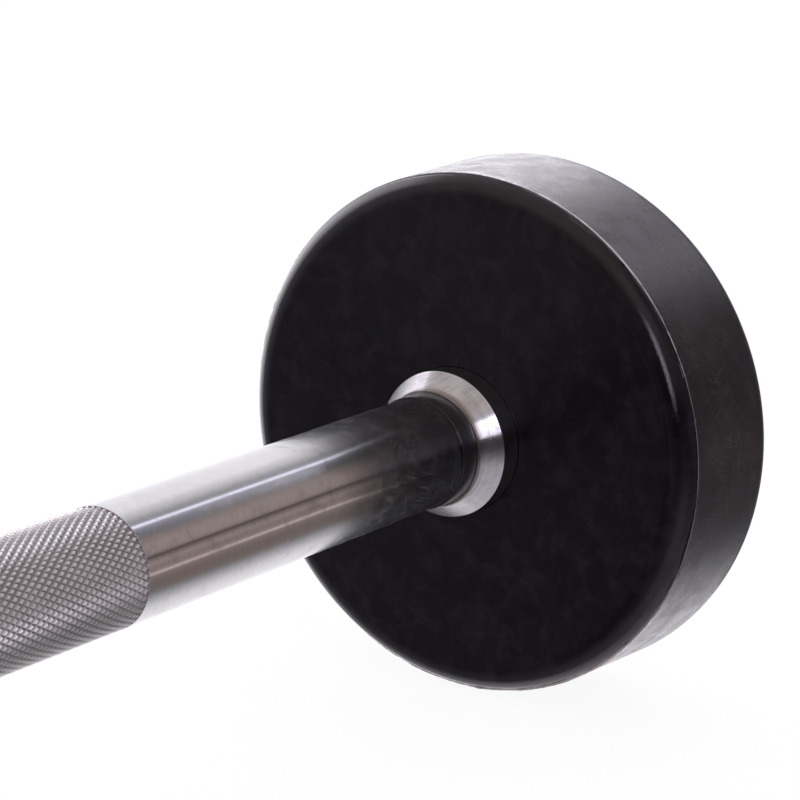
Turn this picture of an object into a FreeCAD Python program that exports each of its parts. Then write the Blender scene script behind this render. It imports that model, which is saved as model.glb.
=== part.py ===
import FreeCAD, Part
import math
import os

# Fixed barbell: a chromed bar with a cylindrical rubber-covered head on each end.
# The origin is the middle of the bar, +X runs along it and +Z is up. Millimetres.
# "Depth" is measured outward from the inner rubber face of the right-hand head,
# so a negative depth lies on the bar's side of that face.

# Bar
overall_length = 1000.0      # over the outer rubber faces of both heads
bar_diameter = 30.0
shoulder_step = 3.0          # from the bar down to the spigot that carries a head
shoulder_round = 0.9
spigot_chamfer = 1.0

# Knurled grip bands
grip_from_head = 146.3       # plain bar between a head's inner face and its grip band
grip_middle_gap = 110.0      # plain bar between the two bands
knurl_depth = 0.5
knurl_runout = 0.6

# Head of rubber over cast iron
head_diameter = 145.8        # at the inner end of the rim
head_rim_draft = 1.57        # radius gained from there to the outer face
head_thickness = 43.6
head_front_corner = 141.0    # diameter of the inner shoulder's corner before rounding
head_front_round = 7.6
head_front_step = 0.5        # the inner shoulder ends this far below the rim
head_back_round = 6.6
rubber_over_faces = 5.0
rubber_over_rim = 6.0
rubber_seam = 0.5            # open seam between the rubber and a steel piece

# Ridge of mould flash between the inner shoulder and the rim
flash_start = 5.05           # depth of the parting line of the mould
flash_height = 0.3
flash_width = 0.5

# What keys the core into the rubber
core_edge_chamfer = 3.0
core_groove_width = 12.0
core_groove_depth = 3.0
core_groove_slope = 1.5
tie_hole_count = 6
tie_hole_diameter = 10.0

# Collar between the bar's shoulder and the core
collar_neck_step = 0.5       # the neck's radius over the bar's
collar_neck_length = 6.9
collar_neck_fillet = 3.0
collar_cone_rise = 4.8
collar_cone_length = 5.4
collar_flank_length = 6.8    # in front of the rubber
collar_register = 2.0        # how deep the collar's foot stands in the core

# End cap, screw and lock washer
cap_sink = 1.0               # the cap's face below the outer rubber face
cap_floor = 5.0
cap_boss_wall = 7.0
cap_flange_step = 10.0
cap_edge_chamfer = 1.0
cap_recess_chamfer = 0.5
screw_diameter = 12.0
screw_length = 35.0
screw_head_diameter = 18.0
screw_head_height = 7.0
screw_head_chamfer = 0.8
screw_head_sink = 0.5        # the screw's head below the cap's face
screw_end_chamfer = 1.2
socket_across_flats = 8.0
socket_depth = 4.0
tapped_hole_spare = 4.0
drill_point_angle = 118.0
lock_washer_width = 4.4
lock_washer_thickness = 2.5
lock_washer_slit = 1.6
lock_washer_slit_angle = 20.0
lock_washer_room = 0.5

# Lock pins between the spigot and the core
lock_pin_count = 2
lock_pin_diameter = 5.0
lock_pin_chamfer = 0.5
lock_pin_inset = 1.0         # from the collar's foot and from the spigot's end

# Clearances
slide_clearance = 0.05       # radial, between a spigot or boss and its bore
thread_clearance = 0.05
bolt_clearance = 0.5
end_clearance = 0.5          # a spigot or boss stops this far short of a floor

# Worked-out sizes
bar_radius = bar_diameter / 2
spigot_radius = bar_radius - shoulder_step
spigot_bore_radius = spigot_radius + slide_clearance
inner_face_x = overall_length / 2 - head_thickness
head_radius = head_diameter / 2
core_radius = head_radius - rubber_over_rim
core_front = rubber_over_faces
core_back = head_thickness - rubber_over_faces

neck_radius = bar_radius + collar_neck_step
collar_radius = neck_radius + collar_cone_rise
collar_cone_end = -collar_flank_length
collar_neck_end = collar_cone_end - collar_cone_length
shoulder_depth = collar_neck_end - collar_neck_length
collar_foot = core_front + collar_register
collar_hole_radius = collar_radius + rubber_seam

screw_radius = screw_diameter / 2
lock_washer_bore_radius = screw_radius + bolt_clearance / 2
lock_washer_radius = lock_washer_bore_radius + lock_washer_width
cap_recess_radius = lock_washer_radius + lock_washer_room
cap_boss_radius = cap_recess_radius + cap_boss_wall
cap_flange_radius = cap_boss_radius + cap_flange_step
cap_hole_radius = cap_flange_radius + rubber_seam
cap_face = head_thickness - cap_sink
screw_head_top = cap_face - screw_head_sink
screw_head_seat = screw_head_top - screw_head_height
cap_recess_floor = screw_head_seat - lock_washer_thickness
cap_boss_end = cap_recess_floor - cap_floor
core_bore_end = cap_boss_end - end_clearance
spigot_end = core_bore_end - end_clearance
screw_end = screw_head_seat - screw_length
tapped_hole_end = screw_end - tapped_hole_spare
tapped_hole_radius = screw_radius + thread_clearance

lock_pin_start = collar_foot + lock_pin_inset
lock_pin_end = spigot_end - lock_pin_inset
lock_pin_radius = lock_pin_diameter / 2
lock_pin_hole_radius = lock_pin_radius + slide_clearance

tie_circle_radius = (core_radius + cap_hole_radius) / 2

grip_outer_end = inner_face_x - grip_from_head
grip_inner_end = grip_middle_gap / 2

bar_axis = FreeCAD.Vector(1, 0, 0)
origin = FreeCAD.Vector(0, 0, 0)


# A closed outline from (along, radius, rounding) corners, with each rounding an arc.
def rounded_outline(corners):
    starts = []
    middles = []
    ends = []
    for index, (along, radius, rounding) in enumerate(corners):
        corner = FreeCAD.Vector(along, 0, radius)
        before = FreeCAD.Vector(corners[index - 1][0], 0, corners[index - 1][1])
        following = corners[(index + 1) % len(corners)]
        after = FreeCAD.Vector(following[0], 0, following[1])
        back = (before - corner).normalize()
        forth = (after - corner).normalize()
        half_angle = back.getAngle(forth) / 2
        reach = rounding / math.tan(half_angle)
        bisector = (back + forth).normalize() if rounding else FreeCAD.Vector(0, 0, 0)
        starts.append(corner + back * reach)
        middles.append(corner + bisector * (rounding / math.sin(half_angle) - rounding))
        ends.append(corner + forth * reach)
    edges = []
    for index, corner in enumerate(corners):
        if corner[2]:
            arc = Part.Arc(starts[index], middles[index], ends[index])
            edges.append(arc.toShape())
        line_end = starts[(index + 1) % len(corners)]
        edges.append(Part.makeLine(ends[index], line_end))
    return Part.Wire(edges)


# A turned solid: the outline revolved round the bar's axis.
def turned(corners):
    face = Part.Face(rounded_outline(corners))
    return face.revolve(origin, bar_axis, 360)


# The same corners, with their depth behind the inner rubber face made an x.
def at_head(corners):
    return [(inner_face_x + depth, radius, rounding) for depth, radius, rounding in corners]


# A plain cylinder along the bar, from one depth to another.
def rod(radius, start, end, y=0.0, z=0.0):
    base = FreeCAD.Vector(inner_face_x + start, y, z)
    return Part.makeCylinder(radius, end - start, base, bar_axis)


# The same solid at the other end of the bar.
def to_left_end(shape):
    turned_round = shape.copy()
    turned_round.rotate(origin, FreeCAD.Vector(0, 0, 1), 180)
    return turned_round


# Centres of equally spaced holes or pins on a circle round the bar's axis.
def places_on_circle(count, circle_radius, first_angle):
    places = []
    for index in range(count):
        angle = math.radians(first_angle + 360.0 * index / count)
        places.append((circle_radius * math.cos(angle), circle_radius * math.sin(angle)))
    return places


# The lock pins lie on the joint between spigot and core, half in each.
def lock_pin_places():
    return places_on_circle(lock_pin_count, spigot_radius, 90.0)


def lock_pin_holes():
    start = lock_pin_start - end_clearance
    holes = []
    for y, z in lock_pin_places():
        holes.append(rod(lock_pin_hole_radius, start, core_bore_end, y, z))
    return holes


# Tapped hole in the end of the spigot, with its drill point.
def tapped_hole():
    hole = rod(tapped_hole_radius, tapped_hole_end, spigot_end)
    point_length = tapped_hole_radius / math.tan(math.radians(drill_point_angle / 2))
    tip = FreeCAD.Vector(inner_face_x + tapped_hole_end - point_length, 0, 0)
    point = Part.makeCone(0, tapped_hole_radius, point_length, tip, bar_axis)
    return hole.fuse(point)


# Chromed bar: two sunk bands for the knurl and a spigot with a shoulder at each end.
def make_bar():
    shoulder_x = inner_face_x + shoulder_depth
    spigot_end_x = inner_face_x + spigot_end
    knurl_root = bar_radius - knurl_depth
    right_half = [
        (grip_inner_end - knurl_runout, bar_radius, 0),
        (grip_inner_end, knurl_root, 0),
        (grip_outer_end, knurl_root, 0),
        (grip_outer_end + knurl_runout, bar_radius, 0),
        (shoulder_x, bar_radius, shoulder_round),
        (shoulder_x, spigot_radius, 0),
        (spigot_end_x - spigot_chamfer, spigot_radius, 0),
        (spigot_end_x, spigot_radius - spigot_chamfer, 0),
        (spigot_end_x, 0, 0),
    ]
    left_half = [(-x, radius, rounding) for x, radius, rounding in reversed(right_half)]
    bar = turned(left_half + right_half)
    drillings = [tapped_hole()] + lock_pin_holes()
    for drilling in drillings:
        bar = bar.cut(drilling)
        bar = bar.cut(to_left_end(drilling))
    return bar


# Turned collar: neck, fillet, cone and flank, with its foot in the core.
def make_collar():
    return turned(at_head([
        (shoulder_depth, spigot_bore_radius, 0),
        (shoulder_depth, neck_radius, 0),
        (collar_neck_end, neck_radius, collar_neck_fillet),
        (collar_cone_end, collar_radius, 0),
        (collar_foot, collar_radius, 0),
        (collar_foot, spigot_bore_radius, 0),
    ]))


# Cast-iron core: bored for the spigot, counterbored for the collar and the cap,
# with a groove round its rim and tie holes through it that the rubber grips.
def make_head_core():
    collar_seat_radius = collar_radius + slide_clearance
    cap_seat_radius = cap_boss_radius + slide_clearance
    groove_front = (core_front + core_back - core_groove_width) / 2
    groove_back = groove_front + core_groove_width
    groove_floor_radius = core_radius - core_groove_depth
    core = turned(at_head([
        (collar_foot, spigot_bore_radius, 0),
        (collar_foot, collar_seat_radius, 0),
        (core_front, collar_seat_radius, 0),
        (core_front, core_radius - core_edge_chamfer, 0),
        (core_front + core_edge_chamfer, core_radius, 0),
        (groove_front, core_radius, 0),
        (groove_front + core_groove_slope, groove_floor_radius, 0),
        (groove_back - core_groove_slope, groove_floor_radius, 0),
        (groove_back, core_radius, 0),
        (core_back - core_edge_chamfer, core_radius, 0),
        (core_back, core_radius - core_edge_chamfer, 0),
        (core_back, cap_seat_radius, 0),
        (core_bore_end, cap_seat_radius, 0),
        (core_bore_end, spigot_bore_radius, 0),
    ]))
    for y, z in places_on_circle(tie_hole_count, tie_circle_radius, 0.0):
        core = core.cut(rod(tie_hole_diameter / 2, core_front, core_back, y, z))
    for hole in lock_pin_holes():
        core = core.cut(hole)
    return core


# Moulded rubber round the core, with the tie holes filled by the same rubber.
def make_rubber_jacket(core):
    step_depth = (core_front + core_back) / 2
    moulding = turned(at_head([
        (0, collar_hole_radius, 0),
        (0, head_front_corner / 2, head_front_round),
        (flash_start, head_radius - head_front_step, 0),
        (flash_start + flash_width / 2, head_radius + flash_height, 0),
        (flash_start + flash_width, head_radius, 0),
        (head_thickness, head_radius + head_rim_draft, head_back_round),
        (head_thickness, cap_hole_radius, 0),
        (step_depth, cap_hole_radius, 0),
        (step_depth, collar_hole_radius, 0),
    ]))
    return moulding.cut(core)


# End cap: its flange clamps the core and its recess takes the screw's head.
def make_end_cap():
    return turned(at_head([
        (cap_boss_end, screw_radius + bolt_clearance, 0),
        (cap_recess_floor, screw_radius + bolt_clearance, 0),
        (cap_recess_floor, cap_recess_radius, 0),
        (cap_face - cap_recess_chamfer, cap_recess_radius, 0),
        (cap_face, cap_recess_radius + cap_recess_chamfer, 0),
        (cap_face, cap_flange_radius - cap_edge_chamfer, 0),
        (cap_face - cap_edge_chamfer, cap_flange_radius, 0),
        (core_back, cap_flange_radius, 0),
        (core_back, cap_boss_radius, 0),
        (cap_boss_end, cap_boss_radius, 0),
    ]))


# Split spring washer, drawn down flat, with a slanting slit on its lower side.
def make_lock_washer():
    washer = rod(lock_washer_radius, cap_recess_floor, screw_head_seat)
    washer = washer.cut(rod(lock_washer_bore_radius, cap_recess_floor, screw_head_seat))
    middle_x = inner_face_x + (cap_recess_floor + screw_head_seat) / 2
    reach = lock_washer_thickness * 2
    slit = Part.makeBox(
        reach, lock_washer_slit, lock_washer_radius,
        FreeCAD.Vector(middle_x - reach / 2, -lock_washer_slit / 2, -lock_washer_radius),
    )
    slit_centre = FreeCAD.Vector(middle_x, 0, 0)
    slit.rotate(slit_centre, FreeCAD.Vector(0, 0, 1), lock_washer_slit_angle)
    return washer.cut(slit)


# Low-head cap screw with a hexagon socket; its thread is left plain.
def make_cap_screw():
    screw = turned(at_head([
        (screw_end, 0, 0),
        (screw_end, screw_radius - screw_end_chamfer, 0),
        (screw_end + screw_end_chamfer, screw_radius, 0),
        (screw_head_seat, screw_radius, 0),
        (screw_head_seat, screw_head_diameter / 2, 0),
        (screw_head_top - screw_head_chamfer, screw_head_diameter / 2, 0),
        (screw_head_top, screw_head_diameter / 2 - screw_head_chamfer, 0),
        (screw_head_top, 0, 0),
    ]))
    corner_radius = socket_across_flats / 2 / math.cos(math.radians(30))
    corners = []
    for y, z in places_on_circle(6, corner_radius, 0.0):
        corners.append(FreeCAD.Vector(inner_face_x + screw_head_top, y, z))
    hexagon = Part.Face(Part.makePolygon(corners + [corners[0]]))
    socket = hexagon.extrude(bar_axis * -socket_depth)
    return screw.cut(socket)


# The lock pins of one head, as separate solids.
def make_lock_pins():
    pins = []
    for y, z in lock_pin_places():
        pin = rod(lock_pin_radius, lock_pin_start, lock_pin_end, y, z)
        rims = [edge for edge in pin.Edges if len(edge.Vertexes) == 1]
        pins.append(pin.makeChamfer(lock_pin_chamfer, rims))
    return Part.makeCompound(pins)


def main():
    os.makedirs("parts", exist_ok=True)
    core = make_head_core()
    right_end = {
        "collar": make_collar(),
        "head_core": core,
        "rubber_jacket": make_rubber_jacket(core),
        "lock_pins": make_lock_pins(),
        "end_cap": make_end_cap(),
        "lock_washer": make_lock_washer(),
        "cap_screw": make_cap_screw(),
    }
    nodes = {"bar": make_bar()}
    for name, shape in right_end.items():
        nodes[name + "_right"] = shape
        nodes[name + "_left"] = to_left_end(shape)
    for name, shape in nodes.items():
        shape.exportStep("parts/" + name + ".step")
        print(name, len(shape.Solids), "solids,", round(shape.Volume / 1000, 2), "cm3,",
              "valid" if shape.isValid() else "NOT VALID")


main()
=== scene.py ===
import math
import random

import bmesh
import bpy
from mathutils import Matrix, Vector, noise


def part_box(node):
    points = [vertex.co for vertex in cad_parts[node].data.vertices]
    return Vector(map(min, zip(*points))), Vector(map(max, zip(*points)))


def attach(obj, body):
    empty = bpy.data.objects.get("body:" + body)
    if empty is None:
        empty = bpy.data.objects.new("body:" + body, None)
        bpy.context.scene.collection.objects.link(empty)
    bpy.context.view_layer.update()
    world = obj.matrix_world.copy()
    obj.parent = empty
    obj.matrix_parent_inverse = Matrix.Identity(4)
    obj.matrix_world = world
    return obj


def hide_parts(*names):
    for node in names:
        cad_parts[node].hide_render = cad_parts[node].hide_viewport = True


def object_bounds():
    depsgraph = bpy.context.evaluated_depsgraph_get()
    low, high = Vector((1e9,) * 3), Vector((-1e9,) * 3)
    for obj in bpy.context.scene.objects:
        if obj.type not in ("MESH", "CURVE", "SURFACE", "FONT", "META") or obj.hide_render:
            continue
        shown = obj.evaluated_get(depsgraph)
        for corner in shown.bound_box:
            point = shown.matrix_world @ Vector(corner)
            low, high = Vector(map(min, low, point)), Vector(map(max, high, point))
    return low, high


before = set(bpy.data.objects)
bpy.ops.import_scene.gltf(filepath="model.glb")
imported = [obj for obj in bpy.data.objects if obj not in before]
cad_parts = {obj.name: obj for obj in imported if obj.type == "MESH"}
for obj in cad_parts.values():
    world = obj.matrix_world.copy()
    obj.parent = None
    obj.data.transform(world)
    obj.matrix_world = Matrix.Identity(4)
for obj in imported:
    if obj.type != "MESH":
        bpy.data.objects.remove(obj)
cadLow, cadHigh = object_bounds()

# Fixed barbell. Metres, +X along the bar, +Z up, the origin in the middle of the bar.
# "Depth" is measured outward from the inner rubber face of the right-hand head.
mm = 0.001
jacketLow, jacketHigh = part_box("rubber_jacket_right")
innerFaceX = jacketLow.x
outerFaceX = jacketHigh.x
headThickness = outerFaceX - innerFaceX
floorZ = cadLow.z


# Meshes

def roundedOutline(corners, steps=6, support=0.12 * mm):
    # corners are (along, radius, rounding). A rounding becomes an arc between two support
    # points, which keep the long faces beside it flat in the shading.
    points = []
    for index, (along, radius, rounding) in enumerate(corners):
        corner = Vector((along, radius))
        if not rounding:
            points.append(corner)
            continue
        back = (Vector(corners[index - 1][:2]) - corner).normalized()
        forth = (Vector(corners[(index + 1) % len(corners)][:2]) - corner).normalized()
        halfAngle = back.angle(forth) / 2
        reach = rounding / math.tan(halfAngle)
        centre = corner + (back + forth).normalized() * (rounding / math.sin(halfAngle))
        start = corner + back * reach
        end = corner + forth * reach
        firstAngle = math.atan2(start.y - centre.y, start.x - centre.x)
        lastAngle = math.atan2(end.y - centre.y, end.x - centre.x)
        sweep = (lastAngle - firstAngle + math.pi) % (2 * math.pi) - math.pi
        points.append(start + back * support)
        for step in range(steps + 1):
            angle = firstAngle + sweep * step / steps
            points.append(centre + Vector((math.cos(angle), math.sin(angle))) * rounding)
        points.append(end + forth * support)
    return [(point.x, point.y) for point in points]


def atHead(corners):
    return [(innerFaceX + depth, radius, rounding) for depth, radius, rounding in corners]


def ringFaces(first, second, count):
    # quads between two turns of an outline of count points
    faces = []
    for index in range(count):
        after = (index + 1) % count
        faces.append((first + index, second + index, second + after, first + after))
    return faces


def revolved(outline, segments, shape=None):
    # shape(index, x, radius, angle) may move a point of the outline at each angle
    points = []
    faces = []
    count = len(outline)
    for segment in range(segments):
        angle = 2 * math.pi * segment / segments
        for index, (x, radius) in enumerate(outline):
            if shape:
                x, radius = shape(index, x, radius, angle)
            points.append((x, radius * math.cos(angle), radius * math.sin(angle)))
        faces += ringFaces(segment * count, (segment + 1) % segments * count, count)
    return points, faces


def makePiece(name, meshData, material, nodeName, atLeft=False, sharpAngle=32):
    # the left end is the right end turned half round about Z
    side = -1 if atLeft else 1
    points, faces = meshData
    shell = bmesh.new()
    corners = [shell.verts.new((x * side, y * side, z)) for x, y, z in points]
    for face in faces:
        shell.faces.new([corners[index] for index in face])
    bmesh.ops.remove_doubles(shell, verts=shell.verts, dist=0.0005 * mm)
    bmesh.ops.dissolve_degenerate(shell, edges=shell.edges, dist=0.0002 * mm)
    bmesh.ops.recalc_face_normals(shell, faces=shell.faces)
    mesh = bpy.data.meshes.new(name)
    shell.to_mesh(mesh)
    shell.free()
    mesh.shade_smooth()
    mesh.set_sharp_from_angle(angle=math.radians(sharpAngle))
    mesh.materials.append(material)
    piece = bpy.data.objects.new(name, mesh)
    bpy.context.scene.collection.objects.link(piece)
    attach(piece, "root")
    if nodeName:
        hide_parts(nodeName)
    return piece


# Shader nodes

def setInputs(tree, node, **inputs):
    # an input is given by its name with the spaces left out, or as inputN by its place
    for name, value in inputs.items():
        if name.startswith("input"):
            socket = node.inputs[int(name[5:])]
        else:
            socket = next(s for s in node.inputs if s.name.replace(" ", "") == name)
        if isinstance(value, bpy.types.NodeSocket):
            tree.links.new(value, socket)
        else:
            socket.default_value = value


def addNode(tree, kind, settings=None, **inputs):
    node = tree.nodes.new("ShaderNode" + kind)
    for name, value in (settings or {}).items():
        setattr(node, name, value)
    setInputs(tree, node, **inputs)
    return node


def mathNode(tree, operation, first, second=0.0, third=0.0):
    node = addNode(tree, "Math", {"operation": operation},
                   input0=first, input1=second, input2=third)
    return node.outputs[0]


def times(tree, product, *others):
    for other in others:
        product = mathNode(tree, "MULTIPLY", product, other)
    return product


def within(tree, value, low, high):
    return times(tree, mathNode(tree, "GREATER_THAN", value, low),
                 mathNode(tree, "LESS_THAN", value, high))


def rangeNode(tree, value, fromLow, fromHigh, toLow=0.0, toHigh=1.0, smooth=False):
    kind = "SMOOTHSTEP" if smooth else "LINEAR"
    node = addNode(tree, "MapRange", {"interpolation_type": kind}, Value=value,
                   FromMin=fromLow, FromMax=fromHigh, ToMin=toLow, ToMax=toHigh)
    return node.outputs[0]


def mixColour(tree, factor, first, second):
    node = addNode(tree, "Mix", {"data_type": "RGBA"},
                   input0=factor, input6=first, input7=second)
    return node.outputs[2]


def rampNode(tree, factor, stops):
    node = addNode(tree, "ValToRGB", Fac=factor)
    elements = node.color_ramp.elements
    elements[0].position, elements[0].color = stops[0]
    elements[1].position, elements[1].color = stops[-1]
    for position, colour in stops[1:-1]:
        elements.new(position).color = colour
    return node.outputs[0]


def grey(level, red=0.0, blue=0.0):
    return (level * (1 + red), level, level * (1 + blue), 1.0)


def newGroup(name, output, **inputs):
    # a group of plain values: inputs with their defaults, and one output
    group = bpy.data.node_groups.new(name, "ShaderNodeTree")
    for label, default in inputs.items():
        socket = group.interface.new_socket(label, in_out="INPUT", socket_type="NodeSocketFloat")
        socket.default_value = default
    group.interface.new_socket(output, in_out="OUTPUT", socket_type="NodeSocketFloat")
    values = group.nodes.new("NodeGroupInput").outputs[:len(inputs)]
    return group, values, group.nodes.new("NodeGroupOutput").inputs[0]


def cylinderPlace(tree):
    # the object's own x, y and z, and the distance from the bar's axis
    place = addNode(tree, "TexCoord").outputs["Object"]
    x, y, z = addNode(tree, "SeparateXYZ", Vector=place).outputs
    across = addNode(tree, "CombineXYZ", Y=y, Z=z).outputs[0]
    radius = addNode(tree, "VectorMath", {"operation": "LENGTH"}, input0=across)
    return x, y, z, radius.outputs["Value"]


def makeToolLines():
    # fine lines round the bar's axis, as turning, grinding and moulding leave them
    group, (fine, around, detail), height = newGroup(
        "toolLines", "Height", Fine=8000.0, Around=60.0, Detail=2.0)
    x, y, z, radius = cylinderPlace(group)
    along = addNode(group, "CombineXYZ", X=times(group, x, fine),
                    Y=times(group, y, around), Z=times(group, z, around))
    outward = addNode(group, "CombineXYZ", Y=times(group, radius, fine))
    vector = addNode(group, "VectorMath", {"operation": "ADD"},
                     input0=along.outputs[0], input1=outward.outputs[0])
    lines = addNode(group, "TexNoise", Vector=vector.outputs[0], Scale=1.0,
                    Detail=detail, Roughness=0.6)
    group.links.new(lines.outputs["Fac"], height)
    return group


def makeCloudy():
    # soft uneven patches
    group, (scale, low, high), mask = newGroup(
        "cloudyPatches", "Mask", Scale=80.0, Low=0.35, High=0.65)
    place = addNode(group, "TexCoord").outputs["Object"]
    patches = addNode(group, "TexNoise", Vector=place, Scale=scale,
                      Detail=4.0, Roughness=0.55, Distortion=0.4)
    group.links.new(rangeNode(group, patches.outputs["Fac"], low, high, smooth=True), mask)
    return group


def makeSpecks():
    # sparse small dots: dust and grit
    group, (scale, size, share), mask = newGroup(
        "dustSpecks", "Mask", Scale=900.0, Size=0.12, Share=0.1)
    place = addNode(group, "TexCoord").outputs["Object"]
    cells = addNode(group, "TexVoronoi", Vector=place, Scale=scale)
    chance = addNode(group, "SeparateColor", Color=cells.outputs["Color"]).outputs
    chosen = mathNode(group, "LESS_THAN", chance[0], share)
    dotSize = times(group, size, chance[1])
    edge = mathNode(group, "SUBTRACT", dotSize, cells.outputs["Distance"])
    group.links.new(times(group, chosen, rangeNode(group, edge, 0.0, 0.03)), mask)
    return group


def makeScuffs():
    # straight hairline scratches in three directions, over two lengths along the surface
    group, (along, across, fine, long, share), mask = newGroup(
        "hairScuffs", "Mask", Along=0.0, Across=0.0, Fine=4500.0, Long=110.0, Share=0.66)
    place = addNode(group, "CombineXYZ", X=along, Y=across).outputs[0]
    stretch = addNode(group, "CombineXYZ", X=long, Y=fine, Z=1.0).outputs[0]
    fade = mathNode(group, "ADD", share, 0.05)
    flat = {"noise_dimensions": "2D"}
    total = None
    for turn in (0.35, 1.25, 2.6):
        turned = addNode(group, "VectorRotate", {"rotation_type": "Z_AXIS"},
                         Vector=place, Angle=turn).outputs[0]
        longer = addNode(group, "VectorMath", {"operation": "MULTIPLY"},
                         input0=turned, input1=stretch).outputs[0]
        marks = addNode(group, "TexNoise", flat, Vector=longer, Scale=1.0, Detail=0.0)
        where = addNode(group, "TexNoise", flat, Vector=turned, Scale=75.0, Detail=1.0)
        line = times(group, rangeNode(group, marks.outputs[0], share, fade),
                     rangeNode(group, where.outputs[0], 0.44, 0.60))
        total = mathNode(group, "MAXIMUM", total, line) if total else line
    group.links.new(total, mask)
    return group


toolLines = makeToolLines()
cloudyPatches = makeCloudy()
dustSpecks = makeSpecks()
hairScuffs = makeScuffs()


def placeGroup(tree, group, **values):
    return addNode(tree, "Group", {"node_tree": group}, **values).outputs[0]


def aroundLength(tree, y, z, radius):
    # length round the bar's axis, from the near side
    return times(tree, mathNode(tree, "ARCTAN2", z, times(tree, y, -1.0)), radius)


def newMaterial(name):
    material = bpy.data.materials.new(name)
    material.use_nodes = True
    tree = material.node_tree
    return material, tree, tree.nodes["Principled BSDF"]


def aroundTangent(tree):
    return addNode(tree, "Tangent", {"direction_type": "RADIAL", "axis": "X"}).outputs[0]


def bumped(tree, heights, distance):
    # heights are (socket, strength) pairs, one bump on top of the other
    normal = None
    for height, strength in heights:
        bump = addNode(tree, "Bump", Strength=strength, Distance=distance, Height=height)
        if normal:
            tree.links.new(normal, bump.inputs["Normal"])
        normal = bump.outputs[0]
    return normal


print("stage: shader groups made")


# Bar

barShape = {
    "radius": 15.0 * mm,
    "spigotRadius": 12.0 * mm,
    "spigotEndDepth": 23.6 * mm,
    "shoulderDepth": -19.1 * mm,
    "shoulderRound": 0.4 * mm,
    "bandStart": 55.0 * mm,      # of the knurl, from the middle of the bar
    "bandEndDepth": -146.3 * mm,
    "bandRunout": 0.2 * mm,
    "sleeveInside": 14.0 * mm,   # where the knurled skin ends inside the bar
    "segments": 256,
}
barFinish = {
    "colour": grey(0.56, 0.01, 0.03),
    "hazeColour": grey(0.50, 0.03, 0.03),
    "grooveColour": grey(0.38, 0.03, 0.03),   # of the coarser grinding marks
    "grooves": 0.28,
    "roughness": (0.12, 0.20),
    "stretch": 0.8,              # of the reflections along the bar, across the grinding lines
    "lineStrength": 0.05,
    "smudge": 0.018,             # of skin grease, which scatters a little light
    "wornDepths": (-84 * mm, -52 * mm),   # where handling near a head begins and is full
    "wornRoughness": 0.045,
    "scratches": 0.10,
}


def makeChrome(name, finish):
    material, tree, shader = newMaterial(name)
    lines = placeGroup(tree, toolLines, Fine=6500.0, Around=160.0, Detail=3.0)
    ripple = placeGroup(tree, toolLines, Fine=420.0, Around=30.0, Detail=3.0)
    grooves = placeGroup(tree, toolLines, Fine=3000.0, Around=520.0, Detail=2.0)
    grain = placeGroup(tree, toolLines, Fine=3200.0, Around=3200.0, Detail=2.0)
    patches = placeGroup(tree, cloudyPatches, Scale=230.0, Low=0.46, High=0.78)
    specks = placeGroup(tree, dustSpecks, Scale=900.0, Size=0.20, Share=0.03)
    x, y, z, radius = cylinderPlace(tree)
    scuffs = placeGroup(tree, hairScuffs, Along=x, Across=aroundLength(tree, y, z, radius),
                        Fine=4200.0, Long=130.0, Share=0.64)
    depth = mathNode(tree, "SUBTRACT", mathNode(tree, "ABSOLUTE", x), innerFaceX)
    handled = rangeNode(tree, depth, *finish["wornDepths"], 0.12, smooth=True)
    # the grinding lines break up the haze
    worn = times(tree, patches, rangeNode(tree, lines, 0.35, 0.65, 0.4))
    colour = mixColour(tree, worn, finish["colour"], finish["hazeColour"])
    ground = rangeNode(tree, grooves, 0.45, 0.70, 0.0, finish["grooves"])
    colour = mixColour(tree, ground, colour, finish["grooveColour"])
    colour = mixColour(tree, times(tree, specks, 0.6), colour, grey(0.30))
    rough = mathNode(tree, "MULTIPLY_ADD", handled, finish["wornRoughness"],
                     rangeNode(tree, worn, 0.0, 1.0, *finish["roughness"]))
    grease = times(tree, rangeNode(tree, worn, 0.0, 1.0, 0.7, 1.3), finish["smudge"])
    dull = mathNode(tree, "ADD", grease, times(tree, scuffs, handled, finish["scratches"]))
    strength = finish["lineStrength"]
    heights = [(ripple, strength * 1.4), (lines, strength), (grain, strength * 2.0),
               (specks, 0.2)]
    setInputs(tree, shader, BaseColor=colour, Roughness=rough, Anisotropic=finish["stretch"],
              AnisotropicRotation=0.25, Tangent=aroundTangent(tree),
              Metallic=mathNode(tree, "SUBTRACT", 1.0, dull),
              Normal=bumped(tree, heights, 0.02 * mm))
    return material


def makeBar():
    shape = barShape
    shoulderX = innerFaceX + shape["shoulderDepth"]
    spigotEndX = innerFaceX + shape["spigotEndDepth"]
    bandStart = shape["bandStart"] - shape["bandRunout"]
    bandEnd = innerFaceX + shape["bandEndDepth"] + shape["bandRunout"]
    rightHalf = [
        (bandStart, shape["radius"], 0),
        (bandStart, shape["sleeveInside"], 0),
        (bandEnd, shape["sleeveInside"], 0),
        (bandEnd, shape["radius"], 0),
        (shoulderX, shape["radius"], shape["shoulderRound"]),
        (shoulderX, shape["spigotRadius"], 0),
        (spigotEndX, shape["spigotRadius"], 0),
        (spigotEndX, 0, 0),
    ]
    leftHalf = [(-x, radius, rounding) for x, radius, rounding in reversed(rightHalf)]
    outline = roundedOutline(leftHalf + rightHalf)
    makePiece("bar", revolved(outline, shape["segments"]),
              makeChrome("polishedChrome", barFinish), "bar")


makeBar()
print("stage: bar made")


# Knurl

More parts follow.
